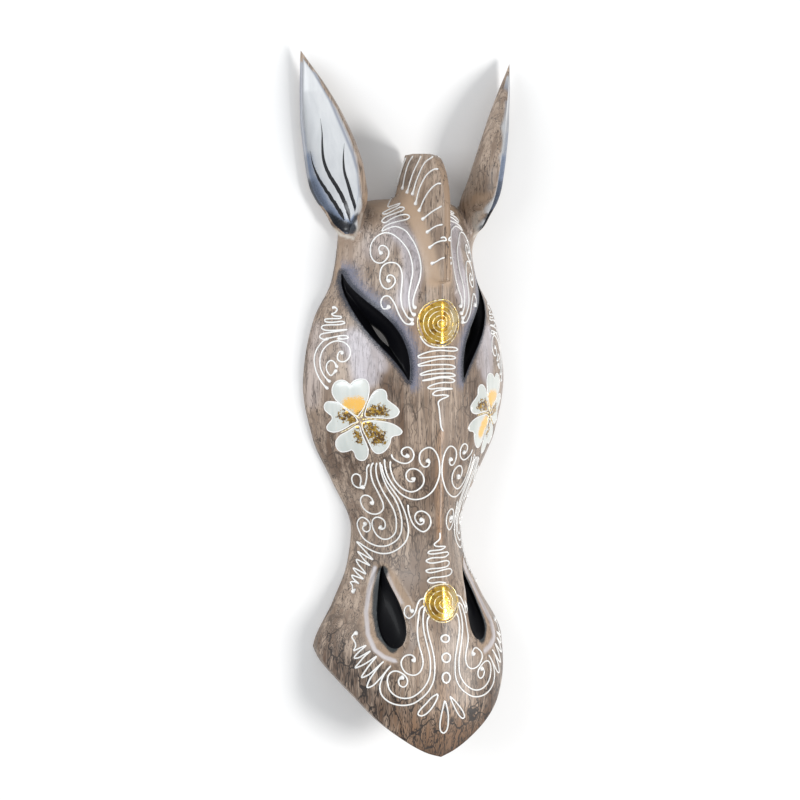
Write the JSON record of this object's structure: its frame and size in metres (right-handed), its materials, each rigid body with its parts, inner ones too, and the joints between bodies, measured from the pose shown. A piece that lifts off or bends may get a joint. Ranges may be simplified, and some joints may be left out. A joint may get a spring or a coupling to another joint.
{
  "type": "giraffe mask",
  "caption": "Carved wooden animal-head wall mask with upright ears, a mane crest, slit eyes and drop-shaped nostrils, hollowed behind and hung as an ornament.",
  "frame": {"origin": "middle of the mask's box across and along, on the plane of its flat back rim", "axes": "+X across the face, +Y from the chin to the ear tips, +Z out of the face"},
  "size_m": [0.1696, 0.5, 0.0685],
  "materials": {
    "painted_wood": "brown-grey paint with dark grain lines under gloss lacquer",
    "raised_paint": "raised white paint lines and petals, glossy",
    "gold_leaf": "gold leaf under lacquer"
  },
  "bodies": {
    "root": {"mask": "painted_wood"}
  },
  "joints": []
}
